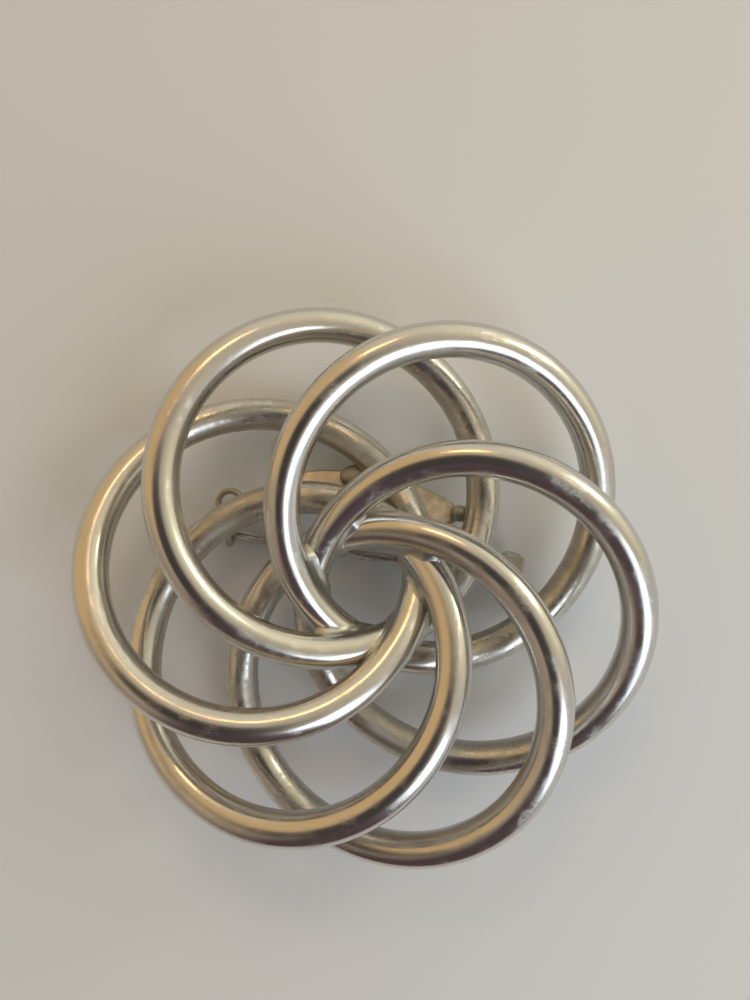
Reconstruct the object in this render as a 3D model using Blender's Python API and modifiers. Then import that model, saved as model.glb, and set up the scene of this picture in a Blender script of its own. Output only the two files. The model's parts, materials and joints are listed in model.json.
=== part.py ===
"""Swirl brooch: six linked rings soldered at the hub, with a hinged pin on the back.

Metres, +Z out through the front of the brooch, +Y towards its top edge. The hub's axis is
the Z axis, and Z = 0 is the plane that the back of the brooch rests on.
"""
import math

import bpy
from mathutils import Matrix, Vector

MM = 0.001

# Rings: equal round wire, each tilted about the line from the hub to its own centre.
RING_RADIUS = 14.0 * MM
WIRE_RADIUS = 1.5 * MM
HUB_OFFSET = 9.25 * MM
RING_TILT = 18.0
FIRST_RING_ANGLE = 104.0
RING_STEP = -60.0
HUB_HEIGHT = 8.06 * MM
RING_SEGMENTS = 54
WIRE_SEGMENTS = 12

# The rings were set by hand, so each sits a little off its even place:
# name, shift outwards, shift sideways and lift in mm, extra tilt and pitch in degrees.
RINGS = (
    ("ring_top_left", -0.2, 0.5, 0.4, -1.0, 0.0),
    ("ring_top_right", 0.7, 0.0, 0.0, 0.0, 0.0),
    ("ring_right", 0.2, 0.0, 0.0, 0.0, 2.5),
    ("ring_bottom_right", 0.0, 0.0, 0.0, -2.0, 0.0),
    ("ring_bottom_left", -0.8, 0.0, 0.0, 0.0, 2.0),
    ("ring_left", 0.0, 0.1, 0.0, 5.0, 2.0),
)
TOP_LEFT = 0
BOTTOM_LEFT = 4
LEFT = 5

# Laps at the hub: the lower ring is notched for the upper one, and solder fills the lap.
LAP_CLEARANCE = 0.30 * MM
SOLDER_CLEARANCE = 0.05 * MM
CROSSING_CLEARANCE = 0.08 * MM
LAP_SOLDER = Vector((3.3, 2.0, 1.3)) * MM
LAP_STEPS = 360

# Maker's plaque: a plain oval sheet soldered behind the left ring's inner strand.
PLAQUE_AT = Vector((0.95, 7.6, -5.71)) * MM
PLAQUE_HALF_LENGTH = 8.1 * MM
PLAQUE_HALF_WIDTH = 2.25 * MM
PLAQUE_THICKNESS = 0.6 * MM
PLAQUE_EDGE = 0.12 * MM
PLAQUE_SEGMENTS = 36
PLAQUE_TURN = -11.9
PLAQUE_ROLL = -19.8
PLAQUE_SOLDER = Vector((1.8, 1.2, 0.85)) * MM
PLAQUE_SOLDER_AT = Vector((-1.9, 1.5, 0.55)) * MM
TIP_SOLDER = Vector((1.1, 0.9, 0.95)) * MM
TIP_SOLDER_AT = Vector((8.0, -0.1, 1.0)) * MM

# Pin: from the rivet on the right to the hook on the left, given from the hub's centre.
# It bows a little towards the bottom edge.
RIVET_AT = Vector((13.45, 1.0, -6.0)) * MM
HOOK_AT = Vector((-12.99, 4.23, -7.0)) * MM
RIVET_SLANT = 25.0
PIN_RADIUS = 0.43 * MM
PIN_START = 0.4 * MM
PIN_LENGTH = 29.1 * MM
PIN_TAPER = 3.5 * MM
PIN_POINT = 0.14
PIN_BOW = 0.5 * MM
PIN_STEPS = 10
EYE_RADIUS = 0.80 * MM
EYE_LENGTH = 1.10 * MM
EYE_BORE = 0.36 * MM
EYE_SEGMENTS = 20

# Hinge bracket: a strip soldered behind the top left ring, with two slanted ears.
STRIP_INNER = 5.95 * MM
STRIP_OUTER = -1.1 * MM
STRIP_WIDTH = 2.6 * MM
STRIP_THICKNESS = 0.6 * MM
STRIP_HEIGHT = 1.45 * MM
EAR_RADIUS = 1.0 * MM
EAR_SPAN = 2.7 * MM
EAR_TOP = 1.3 * MM
EAR_SEGMENTS = 24
SLOT_WIDTH = 1.24 * MM
SLOT_TOP = 0.95 * MM
SLOT_REACH = 1.5 * MM
RIVET_RADIUS = 0.30 * MM
RIVET_BORE = 0.33 * MM
RIVET_HEAD_RADIUS = 0.52 * MM
RIVET_HEAD_THICKNESS = 0.22 * MM
RIVET_HEAD_GAP = 0.04 * MM
HINGE_SOLDER = Vector((1.7, 1.2, 0.75)) * MM
HINGE_SOLDER_AT = Vector((4.35, 0.2, 2.05)) * MM

# Catch: one wire, from its lip below the pin, round the C and out to a scrolled end.
HOOK_WIRE = 0.26 * MM
HOOK_BEND = 0.80 * MM
HOOK_BEND_CENTRE = -0.25 * MM
HOOK_BEND_STEPS = 8
HOOK_LIP = -0.45 * MM
HOOK_ARM = (Vector((0.3, 0.0)) * MM, Vector((1.45, 0.75)) * MM)
SCROLL_RADIUS = 1.15 * MM
SCROLL_CENTRE = Vector((2.93, 0.26)) * MM
SCROLL_START = -35.0
SCROLL_END = 140.0
SCROLL_STEPS = 10
CATCH_SOLDER = Vector((1.3, 1.5, 0.8)) * MM
CATCH_SOLDER_AT = Vector((1.25, 0.3, 1.2)) * MM

HUB = Matrix.Translation((0, 0, HUB_HEIGHT))


def clear_scene():
    for item in list(bpy.data.objects):
        bpy.data.objects.remove(item, do_unlink=True)


def make_collection(name):
    collection = bpy.data.collections.new(name)
    bpy.context.scene.collection.children.link(collection)
    return collection


def make_material(name, colour, roughness):
    material = bpy.data.materials.new(name)
    material.use_nodes = True
    shader = material.node_tree.nodes["Principled BSDF"]
    shader.inputs["Base Color"].default_value = (*colour, 1.0)
    shader.inputs["Roughness"].default_value = roughness
    shader.inputs["Metallic"].default_value = 1.0
    return material


def put(item, name, collection, matrix=None):
    """Name an object, move it to one collection and place it."""
    item.name = name
    item.data.name = name
    for owner in list(item.users_collection):
        owner.objects.unlink(item)
    collection.objects.link(item)
    if matrix is not None:
        item.matrix_world = matrix
    return item


def scale_mesh(item, size):
    """Scale the mesh itself, so that the object keeps a scale of one."""
    item.data.transform(Matrix.Diagonal((*size, 1.0)))


def smooth(item, angle=35.0):
    item.data.shade_smooth()
    item.data.set_sharp_from_angle(angle=math.radians(angle))


def boolean(item, cutter, operation="DIFFERENCE"):
    modifier = item.modifiers.new(f"{operation.lower()} {cutter.name}", "BOOLEAN")
    modifier.operation = operation
    modifier.solver = "EXACT"
    modifier.object = cutter


def bevel(item, width, segments=1):
    modifier = item.modifiers.new("edge", "BEVEL")
    modifier.width = width
    modifier.segments = segments
    modifier.limit_method = "ANGLE"
    modifier.angle_limit = math.radians(40)


class Builder:
    """The brooch's collections and materials, and the solids they are made of."""

    def __init__(self):
        self.parts = make_collection("swirl_brooch")
        self.cutters = make_collection("cutters")
        self.silver = make_material("polished_silver", (0.80, 0.78, 0.74), 0.16)
        self.solder = make_material("solder", (0.62, 0.60, 0.56), 0.38)
        self.findings = make_material("findings_silver", (0.70, 0.68, 0.63), 0.28)
        self.steel = make_material("pin_steel", (0.62, 0.61, 0.60), 0.18)

    def part(self, item, name, material, matrix=None):
        put(item, name, self.parts, matrix)
        item.data.materials.clear()
        item.data.materials.append(material)
        smooth(item)
        return item

    def cutter(self, item, name, matrix=None):
        put(item, name, self.cutters, matrix)
        item.hide_render = True
        item.display_type = "WIRE"
        return item


def torus(wire_radius):
    bpy.ops.mesh.primitive_torus_add(
        major_radius=RING_RADIUS,
        minor_radius=wire_radius,
        major_segments=RING_SEGMENTS,
        minor_segments=WIRE_SEGMENTS,
    )
    return bpy.context.object


def box(low, high):
    """A box between two corners, with its origin at the frame's origin."""
    bpy.ops.mesh.primitive_cube_add(size=1.0)
    item = bpy.context.object
    size = Vector(high) - Vector(low)
    scale_mesh(item, size)
    item.data.transform(Matrix.Translation((Vector(low) + Vector(high)) / 2))
    return item


def cylinder(radius, length, axis, segments=16):
    bpy.ops.mesh.primitive_cylinder_add(radius=radius, depth=length, vertices=segments)
    item = bpy.context.object
    if axis == "Y":
        item.data.transform(Matrix.Rotation(math.pi / 2, 4, "X"))
    return item


def ellipsoid(semi_axes, segments=20, rings=10):
    bpy.ops.mesh.primitive_uv_sphere_add(radius=1.0, segments=segments, ring_count=rings)
    item = bpy.context.object
    scale_mesh(item, semi_axes)
    return item


def wire(points, radius, thickness=None, bevel_resolution=2):
    """A round wire along the points, as a mesh. thickness scales the radius at each point."""
    curve = bpy.data.curves.new("wire", "CURVE")
    curve.dimensions = "3D"
    curve.bevel_depth = radius
    curve.bevel_resolution = bevel_resolution
    curve.use_fill_caps = True
    spline = curve.splines.new("POLY")
    spline.points.add(len(points) - 1)
    for index, (point, place) in enumerate(zip(spline.points, points)):
        point.co = (*place, 1.0)
        point.radius = thickness[index] if thickness else 1.0
    holder = bpy.data.objects.new("wire", curve)
    bpy.context.scene.collection.objects.link(holder)
    graph = bpy.context.evaluated_depsgraph_get()
    mesh = bpy.data.meshes.new_from_object(holder.evaluated_get(graph))
    bpy.data.objects.remove(holder, do_unlink=True)
    item = bpy.data.objects.new("wire", mesh)
    bpy.context.scene.collection.objects.link(item)
    bpy.context.view_layer.objects.active = item
    item.select_set(True)
    bpy.ops.object.mode_set(mode="EDIT")
    bpy.ops.mesh.select_all(action="SELECT")
    bpy.ops.mesh.remove_doubles(threshold=1e-6)
    bpy.ops.mesh.normals_make_consistent(inside=False)
    bpy.ops.object.mode_set(mode="OBJECT")
    item.select_set(False)
    return item


def frame_matrix(origin, x_axis, y_axis, z_axis):
    turn = Matrix((x_axis, y_axis, z_axis)).transposed().to_4x4()
    return Matrix.Translation(origin) @ turn


# ---------------------------------------------------------------- rings and their laps


def ring_matrix(index):
    """Where ring number index stands: its plane holds the local X and Y axes."""
    _, outward, sideways, lift, extra_tilt, pitch = RINGS[index]
    turn = Matrix.Rotation(math.radians(FIRST_RING_ANGLE + index * RING_STEP), 4, "Z")
    centre = Vector((HUB_OFFSET + outward * MM, sideways * MM, lift * MM))
    tilt = Matrix.Rotation(math.radians(RING_TILT + extra_tilt), 4, "X")
    lean = Matrix.Rotation(-math.radians(pitch), 4, "Y")
    return HUB @ turn @ Matrix.Translation(centre) @ tilt @ lean


def centreline(index):
    matrix = ring_matrix(index)
    angles = (2 * math.pi * step / LAP_STEPS for step in range(LAP_STEPS))
    return [matrix @ (RING_RADIUS * Vector((math.cos(a), math.sin(a), 0))) for a in angles]


def lap_frame(upper, lower):
    """The frame of the closest crossing of two rings: X along both wires, Z up between them."""
    over = centreline(upper)
    under = centreline(lower)
    pairs = (
        ((a - b).length, i, j) for i, a in enumerate(over) for j, b in enumerate(under)
    )
    _, i, j = min(pairs)
    along_over = (over[(i + 1) % LAP_STEPS] - over[i - 1]).normalized()
    along_under = (under[(j + 1) % LAP_STEPS] - under[j - 1]).normalized()
    if along_over.dot(along_under) < 0:
        along_under.negate()
    up = (over[i] - under[j]).normalized()
    along = (along_over + along_under).normalized()
    across = up.cross(along)
    return frame_matrix((over[i] + under[j]) / 2, along, across, up)


def build_rings(builder):
    """Six rings. Each is notched where the ring before it crosses over it at the hub."""
    rings = []
    for index, (name, *_) in enumerate(RINGS):
        ring = builder.part(torus(WIRE_RADIUS), name, builder.silver, ring_matrix(index))
        rings.append(ring)
    for lower, (name, *_) in enumerate(RINGS):
        upper = (lower - 1) % len(RINGS)
        groove = torus(WIRE_RADIUS + LAP_CLEARANCE)
        builder.cutter(groove, f"lap_in_{name}", ring_matrix(upper))
        boolean(rings[lower], groove)
    # The bottom left ring just touches the top left one where they cross.
    relief = torus(WIRE_RADIUS + CROSSING_CLEARANCE)
    builder.cutter(relief, "relief_in_ring_top_left", ring_matrix(BOTTOM_LEFT))
    boolean(rings[TOP_LEFT], relief)


def grown_ring(builder, index, name):
    grown = torus(WIRE_RADIUS + SOLDER_CLEARANCE)
    return builder.cutter(grown, name, ring_matrix(index))


def build_lap_solder(builder):
    """One joint at each lap: a cradle in the notch and the fillets around it."""
    for lower, (name, *_) in enumerate(RINGS):
        upper = (lower - 1) % len(RINGS)
        joint_name = f"lap_solder_{name.removeprefix('ring_')}"
        joint = ellipsoid(LAP_SOLDER)
        builder.part(joint, joint_name, builder.solder, lap_frame(upper, lower))
        boolean(joint, grown_ring(builder, upper, f"{joint_name}_over"))
        under = grown_ring(builder, lower, f"{joint_name}_under")
        groove = torus(WIRE_RADIUS + LAP_CLEARANCE - SOLDER_CLEARANCE)
        builder.cutter(groove, f"{joint_name}_groove", ring_matrix(upper))
        boolean(under, groove)
        boolean(joint, under)


# ---------------------------------------------------------------- plaque


def plaque_matrix():
    turn = Matrix.Rotation(math.radians(PLAQUE_TURN), 4, "Z")
    roll = Matrix.Rotation(math.radians(PLAQUE_ROLL), 4, "X")
    return HUB @ Matrix.Translation(PLAQUE_AT) @ turn @ roll


def oval_sheet(margin=0.0):
    item = cylinder(1.0, PLAQUE_THICKNESS + 2 * margin, "Z", PLAQUE_SEGMENTS)
    scale_mesh(item, (PLAQUE_HALF_LENGTH + margin, PLAQUE_HALF_WIDTH + margin, 1.0))
    return item


def build_plaque(builder):
    plaque = builder.part(oval_sheet(), "maker_plaque", builder.findings, plaque_matrix())
    bevel(plaque, PLAQUE_EDGE)
    sheet = oval_sheet(SOLDER_CLEARANCE)
    builder.cutter(sheet, "plaque_solder_sheet", plaque_matrix())
    joints = (
        ("plaque_solder_middle", PLAQUE_SOLDER, PLAQUE_SOLDER_AT, LEFT),
        ("plaque_solder_tip", TIP_SOLDER, TIP_SOLDER_AT, TOP_LEFT),
    )
    for name, semi_axes, place, ring in joints:
        matrix = plaque_matrix() @ Matrix.Translation(place)
        joint = builder.part(ellipsoid(semi_axes), name, builder.solder, matrix)
        boolean(joint, grown_ring(builder, ring, f"{name}_ring"))
        boolean(joint, sheet)


# ---------------------------------------------------------------- pin, hinge and catch


def pin_axes():
    """Unit vectors along the pin to its point, across it towards the top, and up."""
    along = (HOOK_AT - RIVET_AT).normalized()
    across = along.cross(Vector((0, 0, 1))).normalized()
    return along, across, across.cross(along)


def strip_matrix():
    """At the rivet: X along the pin to its point, Y towards the bottom edge, Z up."""
    along, across, up = pin_axes()
    return frame_matrix(HUB @ RIVET_AT, along, -across, up)


def hinge_matrix():
    """As strip_matrix, turned about the pin so that Y is the slanted rivet's axis."""
    return strip_matrix() @ Matrix.Rotation(-math.radians(RIVET_SLANT), 4, "X")


def strip_box(margin=0.0):
    half_width = STRIP_WIDTH / 2 + margin
    low = (STRIP_OUTER - margin, -half_width, STRIP_HEIGHT - STRIP_THICKNESS / 2 - margin)
    high = (STRIP_INNER + margin, half_width, STRIP_HEIGHT + STRIP_THICKNESS / 2 + margin)
    return box(low, high)


def build_hinge(builder):
    bracket = builder.part(strip_box(), "hinge_bracket", builder.findings, strip_matrix())
    half_span = EAR_SPAN / 2
    ears = box((-EAR_RADIUS, -half_span, 0), (EAR_RADIUS, half_span, EAR_TOP))
    barrel = cylinder(EAR_RADIUS, EAR_SPAN, "Y", EAR_SEGMENTS)
    slot = box((-SLOT_REACH, -SLOT_WIDTH / 2, -SLOT_REACH), (SLOT_REACH, SLOT_WIDTH / 2, SLOT_TOP))
    bore = cylinder(RIVET_BORE, 2 * EAR_SPAN, "Y")
    tools = ((ears, "ears", "UNION"), (barrel, "barrel", "UNION"))
    tools += ((slot, "slot", "DIFFERENCE"), (bore, "bore", "DIFFERENCE"))
    for tool, name, operation in tools:
        builder.cutter(tool, f"hinge_{name}", hinge_matrix())
        boolean(bracket, tool, operation)

    rivet = cylinder(RIVET_RADIUS, EAR_SPAN + 2 * RIVET_HEAD_GAP + RIVET_HEAD_THICKNESS, "Y")
    builder.part(rivet, "hinge_rivet", builder.steel, hinge_matrix())
    for side, name in ((-1, "top"), (1, "bottom")):
        head = cylinder(RIVET_HEAD_RADIUS, RIVET_HEAD_THICKNESS, "Y")
        reach = EAR_SPAN / 2 + RIVET_HEAD_GAP + RIVET_HEAD_THICKNESS / 2
        place = hinge_matrix() @ Matrix.Translation((0, side * reach, 0))
        builder.cutter(head, f"rivet_head_{name}", place)
        boolean(rivet, head, "UNION")

    under_ring = strip_matrix() @ Matrix.Translation(HINGE_SOLDER_AT)
    joint = builder.part(ellipsoid(HINGE_SOLDER), "hinge_solder", builder.solder, under_ring)
    boolean(joint, grown_ring(builder, TOP_LEFT, "hinge_solder_ring"))
    strip = builder.cutter(strip_box(SOLDER_CLEARANCE), "hinge_solder_strip", strip_matrix())
    boolean(joint, strip)


def pin_points():
    """The pin's centreline in strip_matrix, from its eye to its point, bowed evenly."""
    span = (HOOK_AT - RIVET_AT).length
    shank = PIN_LENGTH - PIN_TAPER - PIN_START
    reaches = [PIN_START + shank * step / PIN_STEPS for step in range(PIN_STEPS + 1)]
    reaches.append(PIN_LENGTH)
    return [Vector((x, 4 * PIN_BOW * (x / span) * (1 - x / span), 0)) for x in reaches]


def build_pin(builder):
    """The pin, with its origin on the rivet's axis."""
    points = pin_points()
    thickness = [1.0] * (len(points) - 1) + [PIN_POINT]
    pin = wire(points, PIN_RADIUS, thickness)
    builder.part(pin, "pin_stem", builder.steel, strip_matrix())
    eye = cylinder(EYE_RADIUS, EYE_LENGTH, "Y", EYE_SEGMENTS)
    boolean(pin, builder.cutter(eye, "pin_eye", hinge_matrix()), "UNION")
    bore = cylinder(EYE_BORE, 2 * EYE_LENGTH, "Y")
    boolean(pin, builder.cutter(bore, "pin_eye_bore", hinge_matrix()))


def hook_matrix():
    """At the pin's centre in the catch: X across towards the top, Y along the pin, Z up."""
    along, across, up = pin_axes()
    return frame_matrix(HUB @ HOOK_AT, across, along, up)


def hook_points():
    """The lip, the C round the pin, the arm behind the ring, and the flat scroll."""
    points = [Vector((HOOK_LIP, 0, -HOOK_BEND))]
    for step in range(HOOK_BEND_STEPS + 1):
        angle = math.pi / 2 + math.pi * step / HOOK_BEND_STEPS
        x = HOOK_BEND_CENTRE + HOOK_BEND * math.cos(angle)
        points.append(Vector((x, 0, -HOOK_BEND * math.sin(angle))))
    points.extend(Vector((place.x, place.y, HOOK_BEND)) for place in HOOK_ARM)
    for step in range(SCROLL_STEPS + 1):
        angle = math.radians(SCROLL_START + (SCROLL_END - SCROLL_START) * step / SCROLL_STEPS)
        x = SCROLL_CENTRE.x + SCROLL_RADIUS * math.sin(angle)
        y = SCROLL_CENTRE.y + SCROLL_RADIUS * math.cos(angle)
        points.append(Vector((x, y, HOOK_BEND)))
    return points


def build_catch(builder):
    hook = wire(hook_points(), HOOK_WIRE)
    builder.part(hook, "catch_hook", builder.findings, hook_matrix())
    under_ring = hook_matrix() @ Matrix.Translation(CATCH_SOLDER_AT)
    joint = builder.part(ellipsoid(CATCH_SOLDER), "catch_solder", builder.solder, under_ring)
    boolean(joint, grown_ring(builder, BOTTOM_LEFT, "catch_solder_ring"))
    grown = wire(hook_points(), HOOK_WIRE + SOLDER_CLEARANCE)
    boolean(joint, builder.cutter(grown, "catch_solder_wire", hook_matrix()))


def main():
    clear_scene()
    builder = Builder()
    build_rings(builder)
    build_lap_solder(builder)
    build_plaque(builder)
    build_hinge(builder)
    build_pin(builder)
    build_catch(builder)


main()
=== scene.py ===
"""Looks of the swirl brooch: polished, worn silver-tone rings on a plain pale floor.

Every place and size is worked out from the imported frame, in metres.
"""

import json
import math
from typing import NamedTuple

import bmesh
import bpy
import numpy as np
from mathutils import Matrix, Vector, noise


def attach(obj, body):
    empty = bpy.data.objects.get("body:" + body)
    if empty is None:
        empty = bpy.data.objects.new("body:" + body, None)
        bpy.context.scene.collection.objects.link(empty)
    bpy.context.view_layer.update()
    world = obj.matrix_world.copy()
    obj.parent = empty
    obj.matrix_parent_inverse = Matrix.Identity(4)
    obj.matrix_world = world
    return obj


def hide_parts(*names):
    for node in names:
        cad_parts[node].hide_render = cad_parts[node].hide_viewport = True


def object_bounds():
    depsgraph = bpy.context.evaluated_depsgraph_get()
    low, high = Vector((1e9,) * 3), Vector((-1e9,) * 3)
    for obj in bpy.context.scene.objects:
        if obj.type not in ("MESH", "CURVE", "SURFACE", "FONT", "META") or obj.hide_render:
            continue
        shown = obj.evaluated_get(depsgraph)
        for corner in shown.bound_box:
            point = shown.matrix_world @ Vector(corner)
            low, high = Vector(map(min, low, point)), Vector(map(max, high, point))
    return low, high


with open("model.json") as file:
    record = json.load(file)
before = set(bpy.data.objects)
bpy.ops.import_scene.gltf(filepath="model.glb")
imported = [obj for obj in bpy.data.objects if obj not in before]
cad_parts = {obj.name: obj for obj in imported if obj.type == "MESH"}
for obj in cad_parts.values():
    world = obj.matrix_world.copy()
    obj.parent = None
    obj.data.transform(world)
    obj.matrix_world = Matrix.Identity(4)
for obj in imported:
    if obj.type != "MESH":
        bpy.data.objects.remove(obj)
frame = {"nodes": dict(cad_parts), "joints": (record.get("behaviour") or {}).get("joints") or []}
CAD_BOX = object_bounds()

MM = 0.001
BODY = "brooch"
PIN_BODY = "pin"
# In order round the hub: at the hub each ring lies over the next one.
RINGS = (
    "ring_top_left",
    "ring_top_right",
    "ring_right",
    "ring_bottom_right",
    "ring_bottom_left",
    "ring_left",
)

RING_STEPS = 320
WIRE_STEPS = 56

# Fit of a torus to a CAD ring. The few points of its notch miss the torus by far more than the
# rest do: those that miss by FIT_MISS, and by FIT_MISS_TIMES the usual miss, are left out.
FIT_PASSES = 25
FIT_STEP = 0.001 * MM
FIT_MISS = 0.03 * MM
FIT_MISS_TIMES = 1.5
WIRE_GUESS = 0.1

# A hand-bent wire strays a little from its circle, in and out and up and down, and its girth swells.
WAVER = 0.025 * MM
SWELL_SHARE = 0.6
WAVER_PACE = 2.2
WAVER_PACE_UP = 1.7
SWELL_PACE = 3.1
NOISE_PLACE = Vector((0.0, 3.7, 1.3))
NOISE_SPACING = Vector((10.0, 0.0, 0.0))

# At a lap the lower ring is pressed down until it leaves a gap under the upper one.
LAP_STEPS = 720
LAP_GAP = 0.04 * MM
PRESS_PASSES = 60
PRESS_REACH = 17.4 * MM
PRESS_MARGIN = 0.001 * MM

# Solder at the laps: a long drop along each lap, and a web in every gap narrower than twice the
# web's reach. Towards its two ends it narrows to SOLDER_END of the wire's girth.
SOLDER_REACH = 5.8 * MM
SOLDER_STEPS = 70
SOLDER_END = 0.68
SOLDER_TAPER = 0.16
SOLDER_WEB = 0.8 * MM
SOLDER_DROP = Vector((3.7, 1.9, 1.1)) * MM
SOLDER_SINK = 0.05 * MM
SOLDER_VOXEL = 0.12 * MM
SOLDER_SMOOTHING = 12
SOLDER_LUMPS = 0.14 * MM
LUMP_SIZE = 1.1 * MM
SMOOTH_FACTOR = 0.5

# A CAD node's facets are apart until points this close together are welded.
WELD_REACH = 0.001 * MM
# Findings: the edge of a voxel, smoothing passes, and the skin added, or taken off if negative.
PLAQUE_WORN = (0.09 * MM, 4, 0.01 * MM)
BRACKET_WORN = (0.06 * MM, 5, 0.01 * MM)
CATCH_WORN = (0.045 * MM, 10, 0.05 * MM)
RIVET_WORN = (0.04 * MM, 6, 0.01 * MM)
JOINT_WORN = (0.06 * MM, 4, 0.07 * MM)
TIP_JOINT_WORN = (0.06 * MM, 5, -0.12 * MM)

# Pin: a tapered wire, and a rolled eye with rounded edges about the rivet.
SHANK_START = 0.55 * MM
SHANK_STEPS = 60
SHANK_SIDES = 40
TAPER = 3.5 * MM
POINT_SHARE = 0.07
TAPER_CURVE = 1.3
EYE_OUTER = 0.80 * MM
EYE_BORE = 0.36 * MM
EYE_HALF = 0.55 * MM
EYE_EDGE = 0.12 * MM
EYE_SIDES = 48
# The bow is fitted to the CAD pin clear of its eye, and the girth also clear of its taper.
BOW_DEGREE = 2
CLEAR_OF_EYE = 2 * EYE_OUTER
CLEAR_OF_TAPER = 1.2 * TAPER

# The camera looks almost straight down, close above the brooch.
CAMERA_FROM_HUB = Vector((3.10, 7.63, 61.82)) * MM
CAMERA_LEAN = (1.86, -0.16)
CAMERA_LENS = 25.92
CAMERA_NEAR = 1.0 * MM

# The room round the brooch is plain, with soft round zones of other colours. Each zone is its
# azimuth from +X, its angle down from overhead, the two angles of its soft edge, and its colour.
ROOM_COLOUR = (0.40, 0.35, 0.27)
ROOM_STRENGTH = 1.42
ROOM_ZONES = (
    (150, 68, 20, 62, (0.49, 0.335, 0.165)),
    (75, 80, 15, 50, (0.52, 0.48, 0.38)),
    (35, 72, 12, 45, (0.68, 0.63, 0.43)),
    (45, 96, 18, 42, (0.64, 0.60, 0.48)),
    (-45, 88, 15, 50, (0.40, 0.41, 0.42)),
    (-140, 80, 15, 45, (0.26, 0.20, 0.15)),
    (-94, 80, 24, 46, (0.06, 0.035, 0.035)),
    (-97, 46, 16, 34, (0.06, 0.038, 0.042)),
    (-140, 13, 16, 35, (0.035, 0.031, 0.030)),
)
# Softboxes: name, azimuth, angle down, distance and size in metres, brightness, colour.
SOFTBOXES = (
    ("window", -45, 52, 0.30, (0.14, 0.20), 2.5, (0.75, 0.88, 1.0)),
    ("pale_lamp", 32, 63, 0.22, (0.035, 0.065), 7.0, (1.0, 0.95, 0.74)),
    ("amber_lamp", 96, 43, 0.22, (0.050, 0.016), 9.0, (1.0, 0.56, 0.22)),
)
FLOOR_HALF = 1.5
FLOOR_COLOUR = (0.84, 0.89, 0.98)
FLOOR_ROUGHNESS = 0.85
FLOOR_SPECULAR = 0.2


# ---------------------------------------------------------------- shapes from the frame


def node_points(name):
    """A CAD node's vertices as rows of x, y and z."""
    mesh = frame["nodes"][name].data
    points = np.empty(len(mesh.vertices) * 3)
    mesh.vertices.foreach_get("co", points)
    return points.reshape(-1, 3)


def from_circle(points, centre, normal, radius):
    """How far each point is from a circle about a centre, square to a normal."""
    offset = points - centre
    height = offset @ normal
    reach = np.linalg.norm(offset - np.outer(height, normal), axis=1)
    return np.hypot(reach - radius, height)


def tilted(basis, tilt_x, tilt_y):
    """The basis's third direction, tilted towards its first and second."""
    normal = basis[2] + tilt_x * basis[0] + tilt_y * basis[1]
    return normal / np.linalg.norm(normal)


def torus_misses(state, points, basis):
    """How far outside a torus each point is. The state: centre, two tilts, radius and wire radius."""
    *centre, tilt_x, tilt_y, radius, wire = state
    return from_circle(points, centre, tilted(basis, tilt_x, tilt_y), radius) - wire


def fit_torus(points):
    """The centre, normal, radius and wire radius of a torus through points, by least squares."""
    centre = points.mean(axis=0)
    flat = points - centre
    normal = np.linalg.svd(flat, full_matrices=False)[2][2]
    if normal[2] < 0:
        normal = -normal
    radius = np.linalg.norm(flat, axis=1).mean()
    state = np.array([*centre, 0.0, 0.0, radius, WIRE_GUESS * radius])
    side = np.cross(normal, (1.0, 0.0, 0.0))
    side /= np.linalg.norm(side)
    basis = np.array([np.cross(side, normal), side, normal])
    for _ in range(FIT_PASSES):
        miss = torus_misses(state, points, basis)
        near = np.abs(miss) < max(FIT_MISS, FIT_MISS_TIMES * np.median(np.abs(miss)))
        slopes = np.empty((near.sum(), len(state)))
        for column in range(len(state)):
            step = np.zeros(len(state))
            step[column] = FIT_STEP
            moved = torus_misses(state + step, points[near], basis)
            slopes[:, column] = (moved - miss[near]) / FIT_STEP
        state = state - np.linalg.lstsq(slopes, miss[near], rcond=None)[0]
    *centre, tilt_x, tilt_y, radius, wire = state
    return centre, tilted(basis, tilt_x, tilt_y), radius, wire


class Ring:
    """The torus that a CAD ring was cut from."""

    def __init__(self, name):
        self.name = name
        centre, normal, radius, wire = fit_torus(node_points(name))
        self.centre = Vector(centre)
        self.up = Vector(normal)
        self.radius = float(radius)
        self.wire = float(wire)
        outward = Vector((self.centre.x, self.centre.y, 0.0))
        outward -= outward.dot(self.up) * self.up
        self.x_axis = outward.normalized()
        self.y_axis = self.up.cross(self.x_axis)

    def at(self, angle):
        """The point of the wire's centreline at an angle from the outward direction."""
        across = math.cos(angle) * self.x_axis + math.sin(angle) * self.y_axis
        return self.centre + self.radius * across

    def clearance(self, points):
        """How far each point is from the wire's centreline."""
        return from_circle(points, np.array(self.centre), np.array(self.up), self.radius)


class Lap:
    """The closest crossing of two rings: its place, the way up to the upper ring, and the way along."""

    def __init__(self, upper, lower):
        self.upper = upper
        self.lower = lower
        angles = [2 * math.pi * step / LAP_STEPS for step in range(LAP_STEPS)]
        over = np.array([upper.at(angle) for angle in angles])
        under = np.array([lower.at(angle) for angle in angles])
        gaps = np.linalg.norm(over[:, None] - under[None], axis=2)
        i, j = np.unravel_index(gaps.argmin(), gaps.shape)
        self.upper_angle = angles[i]
        self.lower_angle = angles[j]
        self.centre = Vector((over[i] + under[j]) / 2)
        self.up = Vector(over[i] - under[j]).normalized()
        along_over = Vector(over[(i + 1) % LAP_STEPS] - over[i - 1]).normalized()
        along_under = Vector(under[(j + 1) % LAP_STEPS] - under[j - 1]).normalized()
        if along_over.dot(along_under) < 0:
            along_under.negate()
        self.along = (along_over + along_under).normalized()


# ---------------------------------------------------------------- mesh helpers


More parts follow.
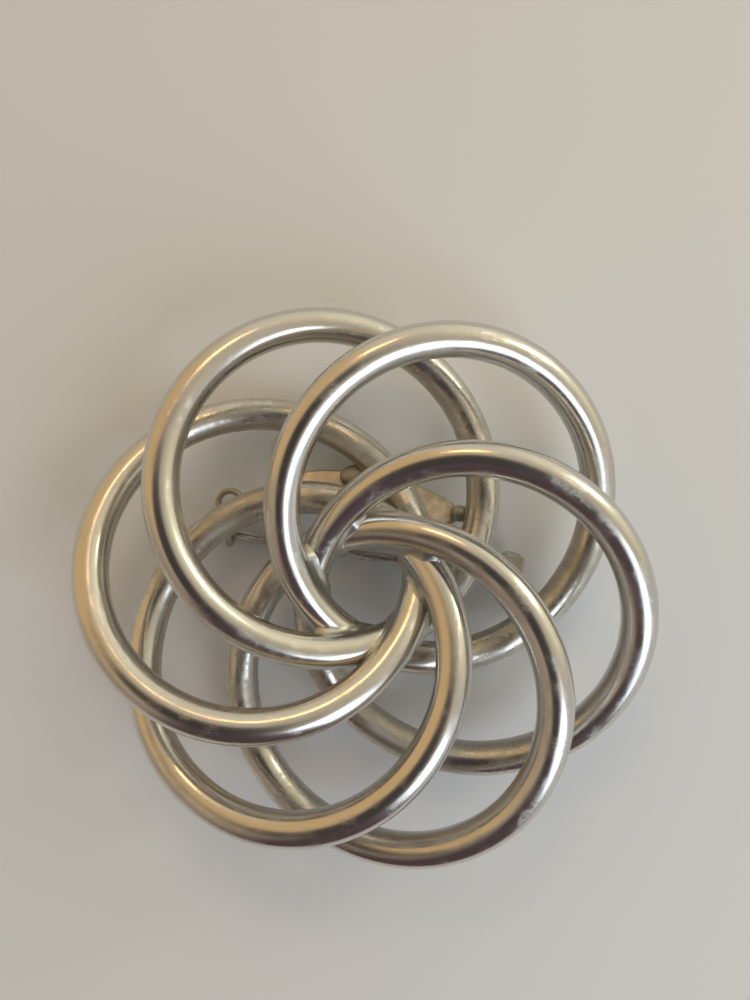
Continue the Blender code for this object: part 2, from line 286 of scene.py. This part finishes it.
def new_piece(name, mesh, material, body, node):
    """Link a mesh as a piece of the object, shaded smooth, in place of a CAD node."""
    piece = bpy.data.objects.new(name, mesh)
    bpy.context.scene.collection.objects.link(piece)
    mesh.materials.clear()
    mesh.materials.append(material)
    mesh.shade_smooth()
    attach(piece, body)
    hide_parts(node)


def tube_mesh(name, rows, closed):
    """A tube through rows of points, one row round the wire at each station."""
    build = bmesh.new()
    grid = [[build.verts.new(point) for point in row] for row in rows]
    count = len(grid)
    sides = len(grid[0])
    for i in range(count if closed else count - 1):
        for j in range(sides):
            after_i = (i + 1) % count
            after_j = (j + 1) % sides
            corners = (grid[i][j], grid[after_i][j], grid[after_i][after_j], grid[i][after_j])
            build.faces.new(corners)
    if not closed:
        build.faces.new(reversed(grid[0]))
        build.faces.new(grid[-1])
    bmesh.ops.recalc_face_normals(build, faces=build.faces)
    mesh = bpy.data.meshes.new(name)
    build.to_mesh(mesh)
    build.free()
    return mesh


def joined_mesh(name, parts):
    """One mesh made of several, which are used up."""
    build = bmesh.new()
    for part in parts:
        build.from_mesh(part)
        bpy.data.meshes.remove(part)
    mesh = bpy.data.meshes.new(name)
    build.to_mesh(mesh)
    build.free()
    return mesh


def mark_wire(mesh, ring):
    """Give each point its place about the ring, in millimetres, by which drawn lines are laid."""
    mesh.attributes.new("wire_place", "FLOAT_VECTOR", "POINT")
    mesh.attributes.new("wire_turn", "FLOAT", "POINT")
    place = mesh.attributes["wire_place"]
    turn = mesh.attributes["wire_turn"]
    for index, vertex in enumerate(mesh.vertices):
        offset = vertex.co - ring.centre
        height = offset.dot(ring.up)
        x = offset.dot(ring.x_axis) / MM
        y = offset.dot(ring.y_axis) / MM
        reach = math.hypot(x, y) - ring.radius / MM
        place.data[index].vector = (reach, height / MM, x)
        turn.data[index].value = y


def modified_mesh(mesh, name, modifiers):
    """The mesh after a list of (modifier type, settings) has been worked out on it."""
    holder = bpy.data.objects.new("holder", mesh)
    bpy.context.scene.collection.objects.link(holder)
    for kind, settings in modifiers:
        modifier = holder.modifiers.new(kind.lower(), kind)
        for key, value in settings.items():
            setattr(modifier, key, value)
    graph = bpy.context.evaluated_depsgraph_get()
    result = bpy.data.meshes.new_from_object(holder.evaluated_get(graph))
    result.name = name
    bpy.data.objects.remove(holder, do_unlink=True)
    return result


def remeshed(voxel):
    return ("REMESH", {"mode": "VOXEL", "voxel_size": voxel})


def displaced(distance):
    return ("DISPLACE", {"strength": distance, "mid_level": 0.0})


def smoothed(passes):
    return ("SMOOTH", {"factor": SMOOTH_FACTOR, "iterations": passes})


# ---------------------------------------------------------------- materials


class Finish(NamedTuple):
    """A metal: its clean colour, its darker colour for the tarnished film and for painted shade in
    crevices, its roughness in both states, the tarnished film's share.
    """

    name: str
    clean: tuple
    tarnish_and_shade: tuple
    gloss: float
    dullness: float
    share: float
    drawn: bool = False


SILVER = Finish("worn_silver", (0.70, 0.68, 0.64), (0.54, 0.51, 0.44), 0.19, 0.48, 0.11, True)
SOLDER = Finish("dull_solder", (0.60, 0.61, 0.57), (0.43, 0.42, 0.36), 0.34, 0.50, 0.20)
FINDINGS = Finish("satin_silver", (0.71, 0.68, 0.61), (0.46, 0.41, 0.33), 0.24, 0.44, 0.16)
STEEL = Finish("drawn_steel", (0.72, 0.71, 0.70), (0.40, 0.37, 0.32), 0.15, 0.35, 0.05)

# The colour sockets of a Mix node: two to mix, and the result.
MIX_FIRST = 6
MIX_SECOND = 7
MIX_RESULT = 2
NOISE_MIDDLE = 0.5

# Clouds of wear: scale per millimetre, detail and roughness of the noise.
PATCHES = (0.22, 3.0, 0.55)
MOTTLE = (1.6, 5.0, 0.62)
SHADE = (0.9, 3.0, 0.5)
SMEARS = (0.7, 4.0, 0.6)
SCUFFS = (0.45, 2.0, 0.5)
DENTS = (0.35, 2.0, 0.4)
GRAIN = (9.0, 3.0, 0.6)
# Pits: how many per millimetre, and a pit's radius as a share of the room it has.
PITS = (2.4, 0.14)
# The patches' weight against the mottle, how dark the shade is, how dull the smears are, and
# between which two values of the scuffs' cloud the hairlines fade in.
PATCH_WEIGHT = 0.6
SHADE_DEPTH = 0.95
SMEAR_ROUGHNESS = 0.04
SCUFFED = (0.45, 0.65)

# Towards the bottom the metal is darker and duller: the height in mm over which this grows lower down,
# and where the film begins and ends.
LOW_DOWN = (9.0, 4.5)
LOW_WEIGHT = 0.26
FILM_FROM = 0.66
FILM_TO = 1.02
# Painted shade in crevices, found by ambient occlusion: how far they reach, how open they are at its
# start and end, and its depth.
CREVICE_REACH = 1.2 * MM
CREVICE_SAMPLES = 4
CREVICE_OPEN = (0.80, 0.20)
CREVICE_PAINTED_SHADE = 0.75

# Hairline scratches: the turn in degrees and the number per millimetre of each set.
HAIRLINES = (((0, 0, 25), 9.0), ((0, 20, -50), 7.0), ((35, 0, 80), 11.0))
HAIRLINE_NOISE = (1.0, 2.0, 0.6)
HAIRLINE_ALONG = 0.35
HAIRLINE_WIDTH = 0.010
HAIRLINE_ROUGHNESS = 0.05
# Drawn lines in the wire, per millimetre round it and along it.
LINES_NOISE = (1.0, 4.0, 0.65)
LINES_ROUND = 2.6
LINES_ALONG = 0.10

# Relief of each kind of wear: its height and its strength.
DENT_BUMP = (0.05 * MM, 0.3)
DRAWN_BUMP = (0.012 * MM, 0.75)
GRAIN_BUMP = (0.004 * MM, 0.4)
HAIRLINE_BUMP = (0.004 * MM, 0.6)
PIT_BUMP = (0.014 * MM, 0.5)


class Nodes:
    """Short calls for the shader nodes that the materials share. Places are in millimetres."""

    def __init__(self, material):
        material.use_nodes = True
        self.tree = material.node_tree
        self.shader = self.tree.nodes["Principled BSDF"]
        self.place = self.add("ShaderNodeMapping")
        self.place.inputs["Scale"].default_value = (1 / MM, 1 / MM, 1 / MM)
        self.join(self.add("ShaderNodeTexCoord").outputs["Object"], self.place.inputs[0])

    def add(self, kind):
        return self.tree.nodes.new(kind)

    def join(self, output, socket):
        self.tree.links.new(output, socket)

    def turned(self, turn, scale):
        """The place in mm, turned by angles in degrees and scaled along the new axes."""
        node = self.add("ShaderNodeMapping")
        node.inputs["Rotation"].default_value = [math.radians(angle) for angle in turn]
        node.inputs["Scale"].default_value = scale
        self.join(self.place.outputs[0], node.inputs[0])
        return node.outputs[0]

    def noise(self, scale, detail, roughness, place):
        node = self.add("ShaderNodeTexNoise")
        node.inputs["Scale"].default_value = scale
        node.inputs["Detail"].default_value = detail
        node.inputs["Roughness"].default_value = roughness
        self.join(place, node.inputs["Vector"])
        return node

    def cloud(self, scale, detail, roughness):
        return self.noise(scale, detail, roughness, self.place.outputs[0]).outputs["Fac"]

    def pits(self, scale, size):
        """Small round hollows: 1 inside a pit, 0 elsewhere."""
        node = self.add("ShaderNodeTexVoronoi")
        node.inputs["Scale"].default_value = scale
        self.join(self.place.outputs[0], node.inputs["Vector"])
        return self.ramp(node.outputs["Distance"], size, 0.0)

    def ramp(self, value, low, high, to_low=0.0, to_high=1.0):
        node = self.add("ShaderNodeMapRange")
        node.interpolation_type = "SMOOTHSTEP"
        limits = (("From Min", low), ("From Max", high), ("To Min", to_low), ("To Max", to_high))
        for name, limit in limits:
            node.inputs[name].default_value = limit
        self.join(value, node.inputs["Value"])
        return node.outputs["Result"]

    def maths(self, operation, first, second):
        node = self.add("ShaderNodeMath")
        node.operation = operation
        for socket, value in zip(node.inputs, (first, second)):
            if isinstance(value, (int, float)):
                socket.default_value = value
            else:
                self.join(value, socket)
        return node.outputs[0]

    def blend(self, factor, first, second):
        """A colour between two, which are colours or sockets."""
        node = self.add("ShaderNodeMix")
        node.data_type = "RGBA"
        self.join(factor, node.inputs["Factor"])
        for index, value in ((MIX_FIRST, first), (MIX_SECOND, second)):
            if isinstance(value, tuple):
                node.inputs[index].default_value = (*value, 1.0)
            else:
                self.join(value, node.inputs[index])
        return node.outputs[MIX_RESULT]

    def bump(self, height, distance, strength, after=None):
        node = self.add("ShaderNodeBump")
        node.inputs["Strength"].default_value = strength
        node.inputs["Distance"].default_value = distance
        self.join(height, node.inputs["Height"])
        if after is not None:
            self.join(after, node.inputs["Normal"])
        return node.outputs["Normal"]

    def drawn_lines(self):
        """Fine lines along a wire, from its own girth and length coordinates."""
        place = self.add("ShaderNodeAttribute")
        place.attribute_name = "wire_place"
        turn = self.add("ShaderNodeAttribute")
        turn.attribute_name = "wire_turn"
        scaled = self.add("ShaderNodeVectorMath")
        scaled.operation = "MULTIPLY"
        scaled.inputs[1].default_value = (LINES_ROUND, LINES_ROUND, LINES_ALONG)
        self.join(place.outputs["Vector"], scaled.inputs[0])
        node = self.noise(*LINES_NOISE, scaled.outputs[0])
        node.noise_dimensions = "4D"
        self.join(self.maths("MULTIPLY", turn.outputs["Fac"], LINES_ALONG), node.inputs["W"])
        return node.outputs["Fac"]

    def scratches(self, turn, density, width):
        """Fine straight lines across one direction: 1 on a scratch."""
        place = self.turned(turn, (HAIRLINE_ALONG, density, density))
        streaks = self.noise(*HAIRLINE_NOISE, place).outputs["Fac"]
        lines = self.maths("ABSOLUTE", self.maths("SUBTRACT", streaks, NOISE_MIDDLE), 0.0)
        return self.ramp(lines, width, 0.0)


def worn_metal(finish):
    """Rubbed metal: a soft tarnished film, darker and duller towards the bottom, painted shade in
    crevices, drawn lines and wear.
    """
    material = bpy.data.materials.new(finish.name)
    nodes = Nodes(material)
    shader = nodes.shader

    patches = nodes.maths("MULTIPLY", nodes.cloud(*PATCHES), PATCH_WEIGHT)
    mottle = nodes.maths("MULTIPLY", nodes.cloud(*MOTTLE), 1 - PATCH_WEIGHT)
    height = nodes.add("ShaderNodeSeparateXYZ")
    nodes.join(nodes.place.outputs[0], height.inputs[0])
    # Darker and duller towards the bottom, by height.
    low = nodes.maths("MULTIPLY", nodes.ramp(height.outputs["Z"], *LOW_DOWN), LOW_WEIGHT)
    film = nodes.maths("ADD", nodes.maths("ADD", patches, mottle), low)
    film = nodes.ramp(film, FILM_FROM - finish.share, FILM_TO - finish.share)

    # Painted shade: where ambient occlusion finds a crevice, the surface takes the darker colour and is
    # duller.
    occlusion = nodes.add("ShaderNodeAmbientOcclusion")
    occlusion.inputs["Distance"].default_value = CREVICE_REACH
    occlusion.samples = CREVICE_SAMPLES
    crevice = nodes.ramp(occlusion.outputs["AO"], *CREVICE_OPEN)
    film_and_painted_shade = nodes.maths("MAXIMUM", film, nodes.maths("MULTIPLY", crevice, CREVICE_PAINTED_SHADE))

    hairlines = None
    for turn, density in HAIRLINES:
        lines = nodes.scratches(turn, density, HAIRLINE_WIDTH)
        hairlines = lines if hairlines is None else nodes.maths("MAXIMUM", hairlines, lines)
    scuffed = nodes.ramp(nodes.cloud(*SCUFFS), *SCUFFED)
    hairlines = nodes.maths("MULTIPLY", hairlines, scuffed)

    duller = tuple(value * SHADE_DEPTH for value in finish.clean)
    base = nodes.blend(nodes.cloud(*SHADE), finish.clean, duller)
    # The darker colour stands for the tarnished film and, in crevices, for painted shade.
    nodes.join(nodes.blend(film_and_painted_shade, base, finish.tarnish_and_shade), shader.inputs["Base Color"])
    shader.inputs["Metallic"].default_value = 1.0

    rough = nodes.ramp(film_and_painted_shade, 0.0, 1.0, finish.gloss, finish.dullness)
    smears = nodes.maths("MULTIPLY", nodes.cloud(*SMEARS), SMEAR_ROUGHNESS)
    rough = nodes.maths("ADD", rough, smears)
    rough = nodes.maths("ADD", rough, nodes.maths("MULTIPLY", hairlines, HAIRLINE_ROUGHNESS))
    nodes.join(rough, shader.inputs["Roughness"])

    normal = nodes.bump(nodes.cloud(*DENTS), *DENT_BUMP)
    if finish.drawn:
        normal = nodes.bump(nodes.drawn_lines(), *DRAWN_BUMP, normal)
    normal = nodes.bump(nodes.cloud(*GRAIN), *GRAIN_BUMP, normal)
    normal = nodes.bump(nodes.maths("SUBTRACT", 1.0, hairlines), *HAIRLINE_BUMP, normal)
    pits = nodes.maths("MULTIPLY", nodes.pits(*PITS), film)
    normal = nodes.bump(nodes.maths("SUBTRACT", 1.0, pits), *PIT_BUMP, normal)
    nodes.join(normal, shader.inputs["Normal"])
    return material


def floor_material():
    material = bpy.data.materials.new("pale_floor")
    nodes = Nodes(material)
    nodes.shader.inputs["Base Color"].default_value = (*FLOOR_COLOUR, 1.0)
    nodes.shader.inputs["Roughness"].default_value = FLOOR_ROUGHNESS
    nodes.shader.inputs["Specular IOR Level"].default_value = FLOOR_SPECULAR
    return material


# ---------------------------------------------------------------- the rings


def lowered(points, lap):
    """Points of the lower ring, pressed down out of the upper ring's wire and a gap."""
    limit = lap.upper.wire + LAP_GAP
    down = -np.array(lap.up)
    near = np.linalg.norm(points - np.array(lap.centre), axis=1) < PRESS_REACH
    moved = points.copy()
    for _ in range(PRESS_PASSES):
        depth = limit - lap.upper.clearance(moved)
        inside = near & (depth > 0)
        if not inside.any():
            break
        moved[inside] += (depth[inside, None] + PRESS_MARGIN) * down
    return moved


def ring_rows(ring, wire, start, stop, steps, waver=WAVER):
    """Rows of points round the wire, from one angle of the ring to another."""
    seed = NOISE_PLACE + RINGS.index(ring.name) * NOISE_SPACING
    points = []
    for step in range(steps):
        angle = start + (stop - start) * step / steps
        out = math.cos(angle) * ring.x_axis + math.sin(angle) * ring.y_axis
        along = seed + WAVER_PACE * Vector((math.cos(angle), math.sin(angle), 0))
        shift_out = noise.noise(along) * out
        shift = waver * (shift_out + noise.noise(along * WAVER_PACE_UP) * ring.up)
        swell = waver * SWELL_SHARE * noise.noise(along * SWELL_PACE)
        centre = ring.centre + ring.radius * out + shift
        for side in range(WIRE_STEPS):
            turn = 2 * math.pi * side / WIRE_STEPS
            radial = math.cos(turn) * out + math.sin(turn) * ring.up
            points.append(centre + (wire + swell) * radial)
    return np.array(points).reshape(steps, WIRE_STEPS, 3)


def build_rings(rings, laps, silver):
    for ring, lap in zip(rings, laps):
        rows = ring_rows(ring, ring.wire, 0.0, 2 * math.pi, RING_STEPS)
        rows = lowered(rows.reshape(-1, 3), lap).reshape(rows.shape)
        mesh = tube_mesh(f"{ring.name}_polished", rows, closed=True)
        mark_wire(mesh, ring)
        new_piece(f"{ring.name}_polished", mesh, silver, BODY, ring.name)


def lump(mesh, rings):
    """Make solder a little uneven where it stands clear of the wires."""
    normals = [vertex.normal.copy() for vertex in mesh.vertices]
    points = np.array([vertex.co[:] for vertex in mesh.vertices])
    clear = np.min([ring.clearance(points) - ring.wire for ring in rings], axis=0)
    for vertex, normal, height in zip(mesh.vertices, normals, clear):
        share = min(max(float(height) / SOLDER_LUMPS, 0.0), 1.0)
        vertex.co += share * SOLDER_LUMPS * noise.noise(vertex.co / LUMP_SIZE) * normal


def slimmed(rows):
    """The rows of a tube, drawn in towards both ends so that they end inside the ring."""
    from_end = np.minimum(np.arange(len(rows)), np.arange(len(rows))[::-1]) / len(rows)
    share = np.clip(SOLDER_END + (1 - SOLDER_END) * from_end / SOLDER_TAPER, 0.0, 1.0)
    middle = rows.mean(axis=1, keepdims=True)
    return middle + share[:, None, None] * (rows - middle)


def drop_rows(lap):
    """Rows of points round the drop of solder that lies along a lap, grown by the web's reach."""
    size = SOLDER_DROP + Vector((SOLDER_WEB, SOLDER_WEB, SOLDER_WEB))
    across = lap.up.cross(lap.along)
    rows = []
    for step in range(1, SOLDER_STEPS):
        angle = math.pi * step / SOLDER_STEPS
        middle = lap.centre - size.x * math.cos(angle) * lap.along
        row = []
        for side in range(WIRE_STEPS):
            turn = 2 * math.pi * side / WIRE_STEPS
            radial = size.y * math.cos(turn) * across + size.z * math.sin(turn) * lap.up
            row.append(middle + math.sin(angle) * radial)
        rows.append(row)
    return rows


def grown_solder(lap):
    """The drop and the two wires at a lap, all grown by the web's reach, as one mesh."""
    parts = [tube_mesh("drop", drop_rows(lap), closed=False)]
    for ring, angle in ((lap.upper, lap.upper_angle), (lap.lower, lap.lower_angle)):
        half = SOLDER_REACH / ring.radius
        wire = ring.wire + SOLDER_WEB
        rows = ring_rows(ring, wire, angle - half, angle + half, SOLDER_STEPS, waver=0.0)
        parts.append(tube_mesh("arc", slimmed(rows), closed=False))
    return joined_mesh("grown_solder", parts)


def build_lap_solder(laps, material):
    """Solder at each lap: grown and shrunk again, it fills each gap that the growth closed."""
    for lap in laps:
        node = f"lap_solder_{lap.lower.name.removeprefix('ring_')}"
        mesh = modified_mesh(
            grown_solder(lap),
            f"{node}_fillet",
            (
                remeshed(SOLDER_VOXEL),
                displaced(-SOLDER_WEB - SOLDER_SINK),
                remeshed(SOLDER_VOXEL),
                smoothed(SOLDER_SMOOTHING),
            ),
        )
        lump(mesh, (lap.upper, lap.lower))
        new_piece(f"{node}_fillet", mesh, material, BODY, node)


# ---------------------------------------------------------------- the findings


def soften(node, material, slot, voxel, smoothing, swell):
    """A CAD node's shape with its edges worn round, as a new piece in its place."""
    mesh = modified_mesh(
        frame["nodes"][node].data.copy(),
        f"{node}_worn",
        (
            ("WELD", {"merge_threshold": WELD_REACH}),
            displaced(swell),
            remeshed(voxel),
            smoothed(smoothing),
        ),
    )
    new_piece(f"{node}_worn", mesh, material, BODY, node)


def pin_matrix():
    """At the rivet: X along the pin to its point, Y along the rivet."""
    joint = frame["joints"][0]
    pivot = Vector(joint["pos_m"])
    axis = Vector(joint["axis"]).normalized()
    points = node_points("pin_stem")
    tip = Vector(points[np.linalg.norm(points - np.array(pivot), axis=1).argmax()])
    along = tip - pivot
    along = (along - along.dot(axis) * axis).normalized()
    turn = Matrix((along, axis, along.cross(axis))).transposed().to_4x4()
    return Matrix.Translation(pivot) @ turn


def shank_mesh(name, matrix):
    """The pin's tapered wire, along the slight bow of the CAD pin's own centreline."""
    local = np.array([matrix.inverted() @ Vector(point) for point in node_points("pin_stem")])
    length = local[:, 0].max()
    shank = local[local[:, 0] > CLEAR_OF_EYE]
    bow_y = np.polyfit(shank[:, 0], shank[:, 1], BOW_DEGREE)
    bow_z = np.polyfit(shank[:, 0], shank[:, 2], BOW_DEGREE)
    full = shank[shank[:, 0] < length - CLEAR_OF_TAPER]
    off_y = full[:, 1] - np.polyval(bow_y, full[:, 0])
    off_z = full[:, 2] - np.polyval(bow_z, full[:, 0])
    wire = np.hypot(off_y, off_z).max()
    rows = []
    for step in range(SHANK_STEPS + 1):
        along = SHANK_START + (length - SHANK_START) * step / SHANK_STEPS
        share = max(0.0, 1 - (length - along) / TAPER)
        radius = wire * (1 - (1 - POINT_SHARE) * share**TAPER_CURVE)
        centre = Vector((along, np.polyval(bow_y, along), np.polyval(bow_z, along)))
        row = []
        for side in range(SHANK_SIDES):
            turn = 2 * math.pi * side / SHANK_SIDES
            row.append(matrix @ (centre + Vector((0, math.cos(turn), math.sin(turn))) * radius))
        rows.append(row)
    return tube_mesh(name, rows, closed=False)


def eye_mesh(name, matrix):
    """The pin's rolled eye: a thick ring about the rivet, with rounded edges."""
    profile = (
        (-EYE_HALF, EYE_BORE + EYE_EDGE / 2),
        (-EYE_HALF, EYE_OUTER - EYE_EDGE),
        (-EYE_HALF + EYE_EDGE, EYE_OUTER),
        (EYE_HALF - EYE_EDGE, EYE_OUTER),
        (EYE_HALF, EYE_OUTER - EYE_EDGE),
        (EYE_HALF, EYE_BORE + EYE_EDGE / 2),
        (EYE_HALF - EYE_EDGE / 2, EYE_BORE),
        (-EYE_HALF + EYE_EDGE / 2, EYE_BORE),
    )
    rows = []
    for side in range(EYE_SIDES):
        angle = 2 * math.pi * side / EYE_SIDES
        x, z = math.cos(angle), math.sin(angle)
        rows.append([matrix @ Vector((radius * x, along, radius * z)) for along, radius in profile])
    return tube_mesh(name, rows, closed=True)


def build_pin(steel):
    matrix = pin_matrix()
    parts = (shank_mesh("pin_shank", matrix), eye_mesh("pin_eye", matrix))
    mesh = joined_mesh("pin_stem_drawn", parts)
    new_piece("pin_stem_drawn", mesh, steel, PIN_BODY, "pin_stem")


def build_findings(silver, solder, steel):
    soften("maker_plaque", silver, "findings_silver", *PLAQUE_WORN)
    soften("hinge_bracket", silver, "findings_silver", *BRACKET_WORN)
    soften("catch_hook", silver, "findings_silver", *CATCH_WORN)
    soften("hinge_rivet", steel, "pin_steel", *RIVET_WORN)
    for node in ("plaque_solder_middle", "hinge_solder", "catch_solder"):
        soften(node, solder, "solder", *JOINT_WORN)
    soften("plaque_solder_tip", solder, "solder", *TIP_JOINT_WORN)
    build_pin(steel)


# ---------------------------------------------------------------- stage, lights and camera


def add_floor():
    mesh = bpy.data.meshes.new("floor")
    build = bmesh.new()
    bmesh.ops.create_grid(build, x_segments=1, y_segments=1, size=FLOOR_HALF)
    build.to_mesh(mesh)
    build.free()
    mesh.materials.append(floor_material())
    floor = bpy.data.objects.new("floor", mesh)
    floor.location.z = CAD_BOX[0][2]
    bpy.context.scene.collection.objects.link(floor)


def direction(azimuth, polar):
    """The unit vector at an azimuth from +X and an angle down from straight up, in degrees."""
    azimuth, polar = math.radians(azimuth), math.radians(polar)
    flat = math.sin(polar)
    return Vector((flat * math.cos(azimuth), flat * math.sin(azimuth), math.cos(polar)))


def add_softbox(name, azimuth, polar, distance, size, radiance, colour):
    """A rectangular softbox facing the brooch, given by its direction and brightness."""
    light = bpy.data.lights.new(name, "AREA")
    light.shape = "RECTANGLE"
    light.size, light.size_y = size
    light.energy = radiance * math.pi * size[0] * size[1]
    light.color = colour
    holder = bpy.data.objects.new(name, light)
    place = distance * direction(azimuth, polar)
    holder.location = place
    holder.rotation_euler = (-place).to_track_quat("-Z", "Y").to_euler()
    bpy.context.scene.collection.objects.link(holder)


def add_world():
    """The room: each soft zone is laid over the ones before it."""
    world = bpy.data.worlds.new("room")
    bpy.context.scene.world = world
    world.use_nodes = True
    tree = world.node_tree
    towards = tree.nodes.new("ShaderNodeTexCoord").outputs["Generated"]
    colour = None
    for azimuth, polar, inner, outer, tint in ROOM_ZONES:
        aim = tree.nodes.new("ShaderNodeVectorMath")
        aim.operation = "DOT_PRODUCT"
        aim.inputs[1].default_value = direction(azimuth, polar)
        tree.links.new(towards, aim.inputs[0])
        share = tree.nodes.new("ShaderNodeMapRange")
        share.interpolation_type = "SMOOTHSTEP"
        share.inputs["From Min"].default_value = math.cos(math.radians(outer))
        share.inputs["From Max"].default_value = math.cos(math.radians(inner))
        tree.links.new(aim.outputs["Value"], share.inputs["Value"])
        layer = tree.nodes.new("ShaderNodeMix")
        layer.data_type = "RGBA"
        layer.inputs[MIX_FIRST].default_value = (*ROOM_COLOUR, 1.0)
        layer.inputs[MIX_SECOND].default_value = (*tint, 1.0)
        tree.links.new(share.outputs["Result"], layer.inputs["Factor"])
        if colour is not None:
            tree.links.new(colour, layer.inputs[MIX_FIRST])
        colour = layer.outputs[MIX_RESULT]
    tree.links.new(colour, tree.nodes["Background"].inputs["Color"])
    tree.nodes["Background"].inputs["Strength"].default_value = ROOM_STRENGTH


def add_camera(rings):
    hub = sum((ring.centre for ring in rings), Vector()) / len(rings)
    hub.x = 0.0
    hub.y = 0.0
    camera = bpy.data.cameras.new("camera")
    camera.lens = CAMERA_LENS
    camera.clip_start = CAMERA_NEAR
    holder = bpy.data.objects.new("camera", camera)
    lean_y, lean_x = (math.radians(angle) for angle in CAMERA_LEAN)
    turn = Matrix.Rotation(lean_y, 4, "Y") @ Matrix.Rotation(lean_x, 4, "X")
    holder.matrix_world = Matrix.Translation(hub + CAMERA_FROM_HUB) @ turn
    bpy.context.scene.collection.objects.link(holder)
    bpy.context.scene.camera = holder


def main():
    silver = worn_metal(SILVER)
    solder = worn_metal(SOLDER)
    findings = worn_metal(FINDINGS)
    steel = worn_metal(STEEL)

    rings = [Ring(name) for name in RINGS]
    laps = [Lap(rings[index - 1], ring) for index, ring in enumerate(rings)]
    build_rings(rings, laps, silver)
    build_lap_solder(laps, solder)
    build_findings(findings, solder, steel)

    add_floor()
    for softbox in SOFTBOXES:
        add_softbox(*softbox)
    add_world()
    add_camera(rings)
    bpy.context.scene.view_settings.view_transform = "Standard"


main()
